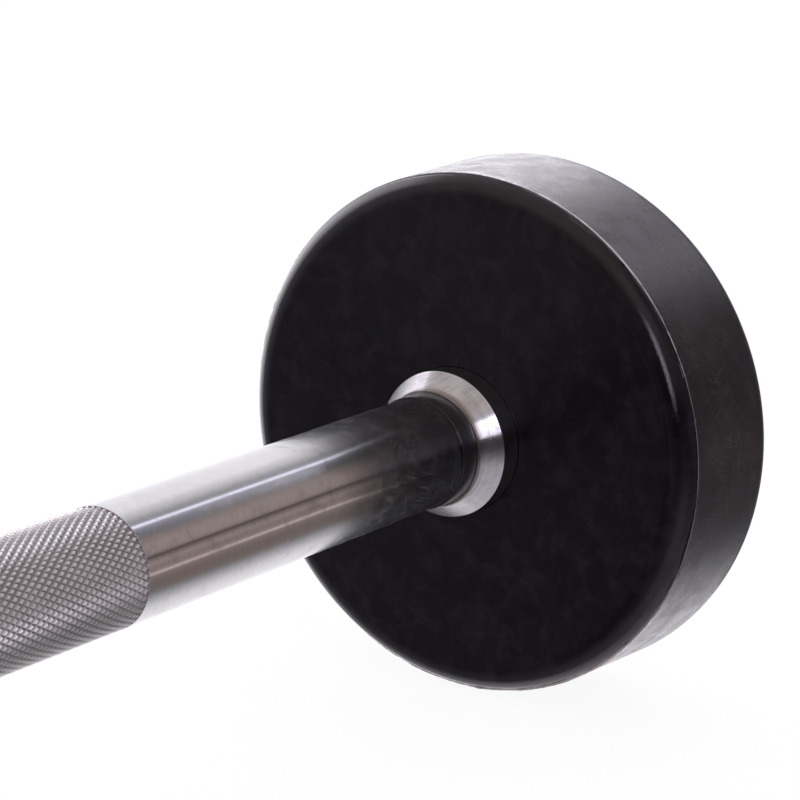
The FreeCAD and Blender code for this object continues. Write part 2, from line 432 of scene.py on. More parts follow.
knurlShape = {
    "grooves": 51,               # round the bar, for each hand
    "lead": 3.2 * mm,            # between grooves of one hand, along the bar
    "crestRadius": 15.0 * mm,
    "rootRadius": 14.5 * mm,
    "slopes": (0.47, 0.30),      # share of a diamond that each slope takes, by hand
    "unevenness": 0.012 * mm,
}
knurlFinish = {
    "crestColour": grey(0.93, 0.02, 0.0),
    # painted shade in the roots of the grooves
    "rootColour": grey(0.46, 0.04, 0.0),
    "wornColour": grey(0.74, 0.04, -0.01),
    "roughness": (0.36, 0.46),   # on the crests, in the roots
}


def knurlSkin(startX, endX, seed):
    shape = knurlShape
    dice = random.Random(seed)
    grooves, lead = shape["grooves"], shape["lead"]
    firstSlope, secondSlope = shape["slopes"]
    shell = bmesh.new()
    crossings = {}

    def place(first, second, radius):
        angle = math.pi * (first + second) / grooves
        x = startX + lead * (first - second) / 2
        return shell.verts.new((x, radius * math.cos(angle), radius * math.sin(angle)))

    def crossing(first, second):
        turns = second // grooves
        key = (first - turns * grooves, second - turns * grooves)
        if key not in crossings:
            crossings[key] = place(key[0], key[1], shape["rootRadius"])
        return crossings[key]

    rows = math.ceil((endX - startX) / lead * 2) + 2
    for row in range(-2, rows):
        for step in range(grooves):
            first, second = step + row, step
            crest = shape["crestRadius"] - dice.random() * shape["unevenness"]
            low = [crossing(first, second), crossing(first + 1, second),
                   crossing(first + 1, second + 1), crossing(first, second + 1)]
            near, far = first + firstSlope, first + 1 - firstSlope
            under, over = second + secondSlope, second + 1 - secondSlope
            top = [place(near, under, crest), place(far, under, crest),
                   place(far, over, crest), place(near, over, crest)]
            shell.faces.new(top)
            for side in range(4):
                after = (side + 1) % 4
                shell.faces.new((low[side], low[after], top[after], top[side]))
    return shell


def radialMove(vert, x, radius):
    scale = radius / math.hypot(vert.co.y, vert.co.z)
    vert.co = (x, vert.co.y * scale, vert.co.z * scale)


def closeKnurlEnd(shell, endX, outward, runout, inside):
    # the grooves run out in short slopes, then the skin turns in and ends inside the bar
    shape = knurlShape
    everything = shell.verts[:] + shell.edges[:] + shell.faces[:]
    cut = bmesh.ops.bisect_plane(shell, geom=everything, plane_co=(endX, 0, 0),
                                 plane_no=(outward, 0, 0), clear_outer=True)
    rim = [item for item in cut["geom_cut"] if isinstance(item, bmesh.types.BMEdge)]
    for ring in ("slope", "strip", "inside"):
        made = bmesh.ops.extrude_edge_only(shell, edges=rim)["geom"]
        rim = [item for item in made if isinstance(item, bmesh.types.BMEdge)]
        for vert in [item for item in made if isinstance(item, bmesh.types.BMVert)]:
            radius = math.hypot(vert.co.y, vert.co.z)
            sunk = (shape["crestRadius"] - radius) / (shape["crestRadius"] - shape["rootRadius"])
            if ring == "slope":
                slopeX = endX + outward * runout * (0.08 + 0.84 * sunk)
                radialMove(vert, slopeX, shape["crestRadius"])
            elif ring == "strip":
                radialMove(vert, endX + outward * runout, shape["crestRadius"])
            else:
                radialMove(vert, endX + outward * runout, inside)
    return rim


def makeKnurl(name, atLeft, material, seed):
    runout = barShape["bandRunout"]
    inside = barShape["sleeveInside"]
    startX = barShape["bandStart"]
    endX = innerFaceX + barShape["bandEndDepth"]
    shell = knurlSkin(startX, endX, seed)
    nearRim = closeKnurlEnd(shell, startX, -1, runout, inside)
    farRim = closeKnurlEnd(shell, endX, 1, runout, inside)
    bmesh.ops.bridge_loops(shell, edges=nearRim + farRim)
    shell.verts.index_update()
    points = [vert.co.to_tuple() for vert in shell.verts]
    faces = [[vert.index for vert in face.verts] for face in shell.faces]
    shell.free()
    makePiece(name, (points, faces), material, None, atLeft, sharpAngle=15)


def makeKnurlChrome():
    finish = knurlFinish
    material, tree, shader = newMaterial("knurledChrome")
    x, y, z, radius = cylinderPlace(tree)
    height = rangeNode(tree, radius, knurlShape["rootRadius"] + 0.05 * mm,
                       knurlShape["crestRadius"] - 0.05 * mm, smooth=True)
    patches = placeGroup(tree, cloudyPatches, Scale=120.0, Low=0.3, High=0.7)
    grain = placeGroup(tree, toolLines, Fine=4000.0, Around=4000.0, Detail=2.0)
    # the roots are painted darker than the crests, as shade in the grooves
    colour = mixColour(tree, height, finish["rootColour"], finish["crestColour"])
    colour = mixColour(tree, times(tree, patches, 0.5), colour, finish["wornColour"])
    crestRough, rootRough = finish["roughness"]
    setInputs(tree, shader, BaseColor=colour, Metallic=1.0,
              Roughness=rangeNode(tree, height, 0.0, 1.0, rootRough, crestRough),
              Normal=bumped(tree, [(grain, 0.2)], 0.03 * mm))
    return material


knurledChrome = makeKnurlChrome()
makeKnurl("knurlRight", False, knurledChrome, 11)
makeKnurl("knurlLeft", True, knurledChrome, 12)
print("stage: knurl made")


# Collars

collarShape = {
    "boreRadius": 12.05 * mm,
    "neckRadius": 15.5 * mm,
    "neckStartDepth": -19.1 * mm,
    "neckEndDepth": -12.2 * mm,
    "neckFillet": 3.0 * mm,
    "coneEndDepth": -6.8 * mm,
    "flankRadius": 20.3 * mm,
    "footDepth": 7.0 * mm,
    "neckEdge": 0.2 * mm,
    "edgeRound": 0.12 * mm,
    "segments": 256,
}
collarFinish = {
    "colour": grey(0.87, 0.02, 0.03),
    "dullColour": grey(0.58, 0.01, -0.02),
    "stainColour": grey(0.17, 0.40, -0.30),
    "dirtColour": grey(0.10, 0.06, 0.0),
    "dirtRadius": 15.49 * mm,    # the step beside the bar is painted dark as shade
    "roughness": 0.20,
    "stretch": 0.90,
    "lineStrength": 0.16,
    "turnedRadius": (15.62 * mm, 20.17 * mm),   # neck and flank are ground smooth
    "polishedRoughness": 0.13,
    "smudge": 0.003,
    "stainRadius": (15.60 * mm, 17.2 * mm),
}


def makeTurnedSteel(name, finish):
    material, tree, shader = newMaterial(name)
    x, y, z, radius = cylinderPlace(tree)
    lines = placeGroup(tree, toolLines, Fine=7000.0, Around=50.0, Detail=2.0)
    coarse = placeGroup(tree, toolLines, Fine=1700.0, Around=40.0, Detail=3.0)
    patches = placeGroup(tree, cloudyPatches, Scale=150.0, Low=0.42, High=0.72)
    scuffs = placeGroup(tree, hairScuffs, Along=x, Across=aroundLength(tree, y, z, radius),
                        Fine=6000.0, Long=260.0, Share=0.64)
    inside, outside = finish["turnedRadius"]
    turned = times(tree, rangeNode(tree, radius, inside - 0.05 * mm, inside),
                   rangeNode(tree, radius, outside - 0.05 * mm, outside, 1.0, 0.0))
    marks = mathNode(tree, "MAXIMUM", rangeNode(tree, lines, 0.35, 0.75, 0.0, 0.5),
                     times(tree, scuffs, 0.8))
    colour = mixColour(tree, times(tree, marks, turned), finish["colour"],
                       finish["dullColour"])
    low, high = finish["stainRadius"]
    stained = times(tree, rangeNode(tree, radius, low, high, 1.0, 0.0, smooth=True),
                    rangeNode(tree, radius, low - 0.04 * mm, low),
                    rangeNode(tree, coarse, 0.38, 0.58, 0.2))
    stained = mathNode(tree, "MAXIMUM", stained, times(tree, patches, 0.24))
    colour = mixColour(tree, stained, colour, finish["stainColour"])
    # the step between the bar and the collar's neck is painted dark as shade
    inStepShade = mathNode(tree, "LESS_THAN", radius, finish["dirtRadius"])
    colour = mixColour(tree, inStepShade, colour, finish["dirtColour"])
    rough = rangeNode(tree, lines, 0.3, 0.7, finish["roughness"] - 0.03,
                      finish["roughness"] + 0.08)
    rough = addNode(tree, "Mix", {"data_type": "FLOAT"}, Factor=turned,
                    input2=finish["polishedRoughness"], input3=rough).outputs[0]
    strength = finish["lineStrength"]
    heights = [(times(tree, coarse, turned), strength * 0.6),
               (times(tree, lines, turned), strength)]
    setInputs(tree, shader, BaseColor=colour, Roughness=rough, Metallic=1.0 - finish["smudge"],
              Anisotropic=finish["stretch"], AnisotropicRotation=0.25,
              Tangent=aroundTangent(tree), Normal=bumped(tree, heights, 0.02 * mm))
    return material


def makeCollar(name, atLeft, material):
    shape = collarShape
    outline = roundedOutline(atHead([
        (shape["neckStartDepth"], shape["boreRadius"], 0),
        (shape["neckStartDepth"], shape["neckRadius"], shape["neckEdge"]),
        (shape["neckEndDepth"], shape["neckRadius"], shape["neckFillet"]),
        (shape["coneEndDepth"], shape["flankRadius"], shape["edgeRound"]),
        (shape["footDepth"], shape["flankRadius"], shape["edgeRound"]),
        (shape["footDepth"], shape["boreRadius"], 0),
    ]))
    makePiece(name, revolved(outline, shape["segments"]), material, name, atLeft)


turnedSteel = makeTurnedSteel("turnedSteel", collarFinish)
makeCollar("collar_right", False, turnedSteel)
makeCollar("collar_left", True, turnedSteel)
print("stage: collars made")


# Rubber heads

jacketShape = {
    "rimRadius": 72.9 * mm,      # at the inner end of the rim
    "rimDraft": 1.57 * mm,
    "frontCorner": 70.5 * mm,    # radius of the inner shoulder's corner before rounding
    "frontRound": 7.6 * mm,
    "frontStep": 0.5 * mm,       # the inner shoulder ends this far below the rim
    "backRound": 6.6 * mm,
    "collarHole": 20.43 * mm,
    "capHole": 28.65 * mm,
    "holeRound": 0.20 * mm,
    "wallFront": 5.0 * mm,       # rubber over each face of the core
    "coreRadius": 66.9 * mm,
    "flashStart": 5.05 * mm,
    "flashHeight": 0.3 * mm,
    "flashWidth": 0.5 * mm,
    "flashSag": 0.1 * mm,
    "lift": 0.85,                # share of the step that is filled on the far side
    "liftStart": 2.9 * mm,       # depth at which that begins
    "liftTurns": (50, 106),      # degrees up from the far side: its middle and its end
    "rimLook": (0.6 * mm, 6.0 * mm),   # how far the rim's finish goes below it and beyond
    "segments": 1200,
}
faceFinish = {
    "colour": (0.0042, 0.0026, 0.0050, 1.0),
    "paleColour": (0.0165, 0.0120, 0.0190, 1.0),
    # lighter on top: dust and a painted sheen
    "filmColour": (0.0150, 0.0126, 0.0158, 1.0),
    "markColour": (0.10, 0.095, 0.105, 1.0),
    "roughness": (0.20, 0.28),
    "edgeGloss": 0.52,           # roughness of the shoulder, as a share of the face's
    "cloudScale": 170.0,
    "cloudRange": (0.40, 0.75),
    "marks": 0.05,
    "marksAround": False,        # the hairline marks lie in the flat face
    "bloom": 0.0,                # of the dusty film that shows at grazing angles
}
rimFinish = {
    "colour": (0.0048, 0.0032, 0.0056, 1.0),
    "paleColour": (0.0150, 0.0120, 0.0200, 1.0),
    "filmColour": (0.205, 0.194, 0.230, 1.0),   # of the dust on top, and a painted sheen where the light falls on top
    "markColour": (0.15, 0.145, 0.155, 1.0),
    "roughness": (0.24, 0.40),
    "edgeGloss": 1.0,
    "cloudScale": 150.0,
    "cloudRange": (0.26, 0.80),
    "marks": 0.16,
    "marksAround": True,
    "bloom": 0.02,
}
flashFinish = {
    "colour": (0.24, 0.23, 0.25, 1.0),
    # painted highlight on the fin's top; below, painted bounce light
    "topColour": (1.0, 0.97, 1.0, 1.0),
    "along": (5.06 * mm, 5.50 * mm),   # depths between which the fin stands
    "bottomColour": (0.50, 0.42, 0.43, 1.0),
    "topExtra": 0.65 * mm,       # the pale line, a painted highlight, is wider on top
    "secondColour": (0.40, 0.38, 0.41, 1.0),   # a fainter painted highlight line before it, on top
    "secondAlong": (4.42 * mm, 4.68 * mm),
    "rise": -0.06 * mm,
    "seamColour": (0.020, 0.014, 0.013, 1.0),
    "seamAlong": (4.90 * mm, 5.03 * mm),
}


def jacketOutline():
    # returns the points and the range of the flash line among them
    shape = jacketShape
    rimStart = shape["flashStart"]
    flashEnd = rimStart + shape["flashWidth"]
    slope = shape["rimDraft"] / (headThickness - flashEnd)
    front = roundedOutline(atHead([
        (0, shape["frontCorner"], shape["frontRound"]),
        (rimStart, shape["rimRadius"] - shape["frontStep"], 0),
        (0, 0, 0),
    ]), steps=14)[:-2]
    # rings that divide the flat face
    flatFace = [(innerFaceX, shape["collarHole"] + extra * mm)
                for extra in (4, 12, 22, 32, 42)]
    lip = roundedOutline(atHead([
        (shape["wallFront"], shape["collarHole"], 0),
        (0, shape["collarHole"], shape["holeRound"]),
        (0, shape["rimRadius"], 0),
    ]), steps=4)[:-1]
    flash = []
    for share in (0.0, 0.2, 0.38, 0.5, 0.62, 0.8, 1.0):
        below = shape["frontStep"] * (1 - share) ** 2
        flash.append((innerFaceX + rimStart + shape["flashWidth"] * share,
                      shape["rimRadius"] - below))
    rim = []
    for share in (0.08, 0.25, 0.5, 0.75):
        depth = flashEnd + (headThickness - shape["backRound"] - flashEnd) * share
        rim.append((innerFaceX + depth, shape["rimRadius"] + slope * (depth - flashEnd)))
    back = roundedOutline(atHead([
        (flashEnd, shape["rimRadius"], 0),
        (headThickness, shape["rimRadius"] + shape["rimDraft"], shape["backRound"]),
        (headThickness, shape["capHole"], shape["holeRound"]),
        (headThickness - shape["wallFront"], shape["capHole"], 0),
    ]), steps=12)[1:]
    coreEdge = 3.0 * mm
    coreBack = headThickness - shape["wallFront"]
    cavity = [(innerFaceX + depth, radius) for depth, radius in (
        (coreBack, shape["coreRadius"] - coreEdge),
        (coreBack - coreEdge, shape["coreRadius"]),
        (shape["wallFront"] + coreEdge, shape["coreRadius"]),
        (shape["wallFront"], shape["coreRadius"] - coreEdge),
    )]
    points = lip + flatFace + front + flash + rim + back + cavity
    flashFirst = len(lip) + len(flatFace) + len(front)
    return points, flashFirst, flashFirst + len(flash)


def jacketMesh(seed):
    # the flash line is ragged: its height, lean and place wander round the rim
    shape = jacketShape
    outline, flashFirst, flashLast = jacketOutline()
    middle = (flashFirst + flashLast - 1) / 2
    liftStart = shape["liftStart"]
    liftMiddle, liftEnd = [math.radians(turn) for turn in shape["liftTurns"]]

    def wander(angle, frequency, channel):
        turn = Vector((math.cos(angle), math.sin(angle), 0)) * frequency
        return noise.noise(turn + Vector((0, 0, seed * 7.3 + channel * 3.1)))

    def flashShape(index, x, radius, angle):
        # the mould's halves stand off toward the near side, so the step dies out opposite
        lift = 0.0
        if index < flashLast:
            reach = (x - innerFaceX - liftStart) / (shape["flashStart"] - liftStart)
            reach = min(max(reach, 0.0), 1.0)
            lift = math.cos(1.6 * (angle - liftMiddle)) if angle < liftEnd else 0.0
            lift = max(0.0, lift) ** 2
            gap = shape["rimRadius"] - radius if index >= flashFirst else shape["frontStep"]
            radius += shape["lift"] * lift * reach ** 2 * gap
        if not flashFirst <= index < flashLast:
            return x, radius
        share = 1 - abs(index - middle) / (middle - flashFirst)
        tall = 0.72 + 0.6 * wander(angle, 9, 1) + 0.4 * wander(angle, 45, 2)
        tall = min(max(tall, 0.35), 1.0)
        lean = (0.6 * wander(angle, 14, 3) + 0.3 * wander(angle, 60, 4)) * shape["flashWidth"]
        sag = shape["flashSag"] * max(0.0, wander(angle, 22, 5)) * (1 - share)
        rise = shape["flashHeight"] * tall * share ** 1.5 * (1 - 0.8 * lift)
        return x + lean * share, radius + rise - sag

    return revolved(outline, shape["segments"], flashShape)


def flashColour(tree, colour, depth, radius, upward, mottle, moulding):
    # the pale fin, white on top as a painted highlight and paler below as painted bounce light,
    # the dark seam before it, and on top a second line before that, a painted highlight
    finish = flashFinish
    start, end = finish["along"]
    onTop = rangeNode(tree, upward, 0.3, 0.9)
    below = rangeNode(tree, upward, -0.75, -0.35, 1.0, 0.0)
    finEnd = mathNode(tree, "MULTIPLY_ADD", onTop, finish["topExtra"], end)
    finFoot = jacketShape["rimRadius"] + finish["rise"]
    risen = rangeNode(tree, radius, finFoot, finFoot + 0.05 * mm)
    onFin = times(tree, within(tree, depth, start, finEnd),
                  mathNode(tree, "MAXIMUM", risen, below))
    # white on top as a painted highlight, paler below as painted bounce light
    finColour = mixColour(tree, onTop, finish["colour"], finish["topColour"])
    finColour = mixColour(tree, below, finColour, finish["bottomColour"])
    colour = mixColour(tree, onFin, colour, finColour)
    onSeam = times(tree, within(tree, depth, *finish["seamAlong"]),
                   rangeNode(tree, mottle, 0.0, 1.0, 1.0, 0.3),
                   mathNode(tree, "SUBTRACT", 1.0, below))
    colour = mixColour(tree, onSeam, colour, finish["seamColour"])
    # a second painted highlight line, only where the rim faces up
    onSecondHighlight = times(tree, within(tree, depth, *finish["secondAlong"]),
                     rangeNode(tree, upward, 0.82, 0.92),
                     rangeNode(tree, moulding, 0.44, 0.60))
    return mixColour(tree, onSecondHighlight, colour, finish["secondColour"])


def makeRubber(name, finish):
    material, tree, shader = newMaterial(name)
    x, y, z, radius = cylinderPlace(tree)
    low, high = finish["cloudRange"]
    clouds = placeGroup(tree, cloudyPatches, Scale=finish["cloudScale"], Low=low, High=high)
    grain = placeGroup(tree, toolLines, Fine=2600.0, Around=2600.0, Detail=3.0)
    moulding = placeGroup(tree, toolLines, Fine=1100.0, Around=50.0, Detail=3.0)
    swell = placeGroup(tree, cloudyPatches, Scale=42.0, Low=0.2, High=0.8)
    specks = placeGroup(tree, dustSpecks, Scale=330.0, Size=0.09, Share=0.07)
    along, across = y, z
    if finish["marksAround"]:
        along, across = x, aroundLength(tree, y, z, radius)
    scuffs = placeGroup(tree, hairScuffs, Along=along, Across=across, Fine=3400.0,
                        Long=120.0, Share=0.64)
    mottle = times(tree, clouds, rangeNode(tree, moulding, 0.3, 0.7, 0.5))
    colour = mixColour(tree, mottle, finish["colour"], finish["paleColour"])
    upward = mathNode(tree, "DIVIDE", z, radius)
    # dust on top, with a painted sheen of the light on top, more of it in the pale patches
    dustAndSheenMask = times(tree, rangeNode(tree, upward, 0.45, 0.98, smooth=True),
                  rangeNode(tree, mottle, 0.0, 0.62, 0.45, 1.05))
    colour = mixColour(tree, dustAndSheenMask, colour, finish["filmColour"])
    marked = mathNode(tree, "MAXIMUM", times(tree, specks, 0.6),
                      times(tree, scuffs, finish["marks"]))
    colour = mixColour(tree, marked, colour, finish["markColour"])
    depth = mathNode(tree, "SUBTRACT", mathNode(tree, "ABSOLUTE", x), innerFaceX)
    colour = flashColour(tree, colour, depth, radius, upward, mottle, moulding)
    rough = times(tree, rangeNode(tree, mottle, 0.0, 1.0, *finish["roughness"]),
                  rangeNode(tree, depth, 0.0, 0.5 * mm, 1.0, finish["edgeGloss"]))
    heights = [(swell, 0.10), (moulding, 0.02), (grain, 0.14), (specks, 0.3)]
    setInputs(tree, shader, BaseColor=colour, Roughness=rough, IOR=1.5,
              SheenWeight=finish["bloom"], SheenRoughness=0.32,
              SheenTint=(1.0, 0.96, 1.0, 1.0), Normal=bumped(tree, heights, 0.25 * mm))
    return material


def makeJacket(name, atLeft, seed):
    jacket = makePiece(name, jacketMesh(seed), smoothRubber, name, atLeft)
    jacket.data.materials.append(rimRubber)
    below, beyond = jacketShape["rimLook"]
    rimStart = innerFaceX + jacketShape["flashStart"]
    rimEnd = innerFaceX + headThickness - jacketShape["backRound"] + beyond
    for face in jacket.data.polygons:
        outside = math.hypot(face.center.y, face.center.z) > jacketShape["rimRadius"] - below
        if outside and rimStart < abs(face.center.x) < rimEnd:
            face.material_index = 1


smoothRubber = makeRubber("smoothRubber", faceFinish)
rimRubber = makeRubber("rimRubber", rimFinish)
makeJacket("rubber_jacket_right", False, 1)
makeJacket("rubber_jacket_left", True, 2)
print("stage: rubber heads made")


# End caps, lock washers and cap screws

endShape = {
    "capFace": headThickness - 1.0 * mm,
    "capFlange": 28.15 * mm,
    "capFlangeBack": headThickness - 5.0 * mm,
    "capBoss": 18.15 * mm,
    "capBossEnd": 27.6 * mm,
    "capRecess": 11.15 * mm,
    "recessFloor": 32.6 * mm,
    "boltHole": 6.5 * mm,
    "capEdge": 1.0 * mm,
    "recessEdge": 0.5 * mm,
    "washerRadius": 10.65 * mm,
    "washerBore": 6.25 * mm,
    "washerSlit": 1.6 * mm,
    "washerSlant": 20.0,         # degrees
    "screwSeat": 35.1 * mm,
    "screwTop": 42.1 * mm,
    "screwHead": 9.0 * mm,
    "screwHeadEdge": 0.8 * mm,
    "screwRadius": 6.0 * mm,
    "screwEnd": 0.1 * mm,
    "screwPoint": 1.2 * mm,
    "socketFlat": 4.0 * mm,      # half the size across the flats
    "socketDepth": 4.0 * mm,
    "socketEdge": 0.35 * mm,
    "socketPoint": 0.8 * mm,
    "segments": 192,
}
capFinish = {
    "colour": grey(0.62, 0.0, 0.01),
    "hazeColour": grey(0.52, 0.0, 0.02),
    "grooveColour": grey(0.52, 0.0, 0.02),
    "grooves": 0.3,
    "roughness": (0.12, 0.22),
    "stretch": 0.6,
    "lineStrength": 0.10,
    "smudge": 0.03,
    "wornDepths": (-2.0, -1.0),  # all of it
    "wornRoughness": 0.0,
    "scratches": 0.10,
}
fastenerFinish = {
    "colour": grey(0.50, 0.0, 0.02),
    "dullColour": grey(0.40, 0.02, 0.02),
    "stainColour": grey(0.36, 0.08, -0.06),
    "dirtColour": grey(0.36),
    "dirtRadius": 0.1 * mm,
    "roughness": 0.30,
    "stretch": 0.4,
    "lineStrength": 0.15,
    "turnedRadius": (-1.0, 1.0),  # all of it
    "polishedRoughness": 0.30,
    "smudge": 0.0,
    "stainRadius": (6.2 * mm, 7.0 * mm),
}


def makeEndCap(name, atLeft, material):
    shape = endShape
    outline = roundedOutline(atHead([
        (shape["capBossEnd"], shape["boltHole"], 0),
        (shape["recessFloor"], shape["boltHole"], 0.2 * mm),
        (shape["recessFloor"], shape["capRecess"], 0.2 * mm),
        (shape["capFace"] - shape["recessEdge"], shape["capRecess"], 0.1 * mm),
        (shape["capFace"], shape["capRecess"] + shape["recessEdge"], 0.1 * mm),
        (shape["capFace"], shape["capFlange"] - shape["capEdge"], 0.4 * mm),
        (shape["capFace"] - shape["capEdge"], shape["capFlange"], 0.3 * mm),
        (shape["capFlangeBack"], shape["capFlange"], 0),
        (shape["capFlangeBack"], shape["capBoss"], 0),
        (shape["capBossEnd"], shape["capBoss"], 0),
    ]), steps=4, support=0.05 * mm)
    makePiece(name, revolved(outline, shape["segments"]), material, name, atLeft)


def makeCapScrew(name, atLeft, material):
    # the socket's three rings are given by how far they stand off the hexagon's flats
    shape = endShape
    outline = roundedOutline(atHead([
        (shape["screwEnd"], 0, 0),
        (shape["screwEnd"], shape["screwRadius"] - shape["screwPoint"], 0),
        (shape["screwEnd"] + shape["screwPoint"], shape["screwRadius"], 0),
        (shape["screwSeat"], shape["screwRadius"], 0),
        (shape["screwSeat"], shape["screwHead"], 0.15 * mm),
        (shape["screwTop"] - shape["screwHeadEdge"], shape["screwHead"], 0.2 * mm),
        (shape["screwTop"], shape["screwHead"] - shape["screwHeadEdge"], 0.3 * mm),
    ]), steps=4, support=0.05 * mm)
    topX = innerFaceX + shape["screwTop"]
    socketFloor = topX - shape["socketDepth"]
    firstHex = len(outline)
    outline += [(topX, shape["socketEdge"]), (topX - shape["socketEdge"] * 0.6, 0.0),
                (socketFloor, 0.0)]
    outline += [(socketFloor, 0.5 * shape["socketFlat"]),
                (socketFloor - shape["socketPoint"], 0.0)]

    def hexagonal(index, x, radius, angle):
        if not firstHex <= index < firstHex + 3:
            return x, radius
        fromFlat = (angle % math.radians(60)) - math.radians(30)
        return x, shape["socketFlat"] / math.cos(fromFlat) + radius

    makePiece(name, revolved(outline, shape["segments"], hexagonal), material,
              name, atLeft)


def makeLockWasher(name, atLeft, material):
    shape = endShape
    corners = atHead([
        (shape["recessFloor"], shape["washerBore"], 0.2 * mm),
        (shape["screwSeat"], shape["washerBore"], 0.2 * mm),
        (shape["screwSeat"], shape["washerRadius"], 0.3 * mm),
        (shape["recessFloor"], shape["washerRadius"], 0.3 * mm),
    ])
    outline = roundedOutline(corners, steps=3, support=0.05 * mm)
    middleX = innerFaceX + (shape["recessFloor"] + shape["screwSeat"]) / 2
    middleRadius = (shape["washerBore"] + shape["washerRadius"]) / 2
    slant = math.tan(math.radians(shape["washerSlant"]))
    halfSlit = shape["washerSlit"] / 2 / middleRadius
    points = []
    faces = []
    count = len(outline)
    segments = shape["segments"] // 2
    for segment in range(segments + 1):
        share = segment / segments
        for x, radius in outline:
            angle = -math.pi / 2 + halfSlit + share * 2 * (math.pi - halfSlit)
            angle += slant * (x - middleX) / middleRadius
            points.append((x, radius * math.cos(angle), radius * math.sin(angle)))
    for segment in range(segments):
        faces += ringFaces(segment * count, (segment + 1) * count, count)
    faces.append(list(range(count)))
    faces.append([segments * count + index for index in range(count)])
    makePiece(name, (points, faces), material, name, atLeft)


capChrome = makeChrome("capChrome", capFinish)
fastenerSteel = makeTurnedSteel("fastenerSteel", fastenerFinish)
for sideName, atLeft in (("_right", False), ("_left", True)):
    makeEndCap("end_cap" + sideName, atLeft, capChrome)
    makeLockWasher("lock_washer" + sideName, atLeft, fastenerSteel)
    makeCapScrew("cap_screw" + sideName, atLeft, fastenerSteel)
print("stage: ends made")


# Pieces inside the heads keep their CAD solids and get their own finish

innerFinish = {
    "ironColours": (grey(0.045, 0.03), grey(0.11, 0.12, -0.08)),
    "ironRoughness": 0.62,
    "pinColours": (grey(0.50, 0.0, 0.02), grey(0.35)),
    "pinRoughness": (0.30, 0.42),
}


def makeCastIron():
    finish = innerFinish
    material, tree, shader = newMaterial("castIron")
    patches = placeGroup(tree, cloudyPatches, Scale=110.0, Low=0.3, High=0.7)
    grain = placeGroup(tree, toolLines, Fine=1300.0, Around=1300.0, Detail=4.0)
    setInputs(tree, shader, BaseColor=mixColour(tree, patches, *finish["ironColours"]),
              Metallic=0.7, Roughness=finish["ironRoughness"],
              Normal=bumped(tree, [(grain, 0.6)], 0.25 * mm))
    return material


def makePinSteel():
    finish = innerFinish
    material, tree, shader = newMaterial("pinSteel")
    lines = placeGroup(tree, toolLines, Fine=6000.0, Around=300.0, Detail=2.0)
    setInputs(tree, shader, BaseColor=mixColour(tree, lines, *finish["pinColours"]),
              Metallic=1.0, Roughness=rangeNode(tree, lines, 0.3, 0.7, *finish["pinRoughness"]),
              Normal=bumped(tree, [(lines, 0.2)], 0.02 * mm))
    return material


innerMaterials = {"head_core": makeCastIron(), "lock_pins": makePinSteel()}
for nodeName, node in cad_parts.items():
    for start, material in innerMaterials.items():
        if nodeName.startswith(start):
            node.data.materials.clear()
            node.data.materials.append(material)
print("stage: inner pieces finished")


# Floor, studio and camera

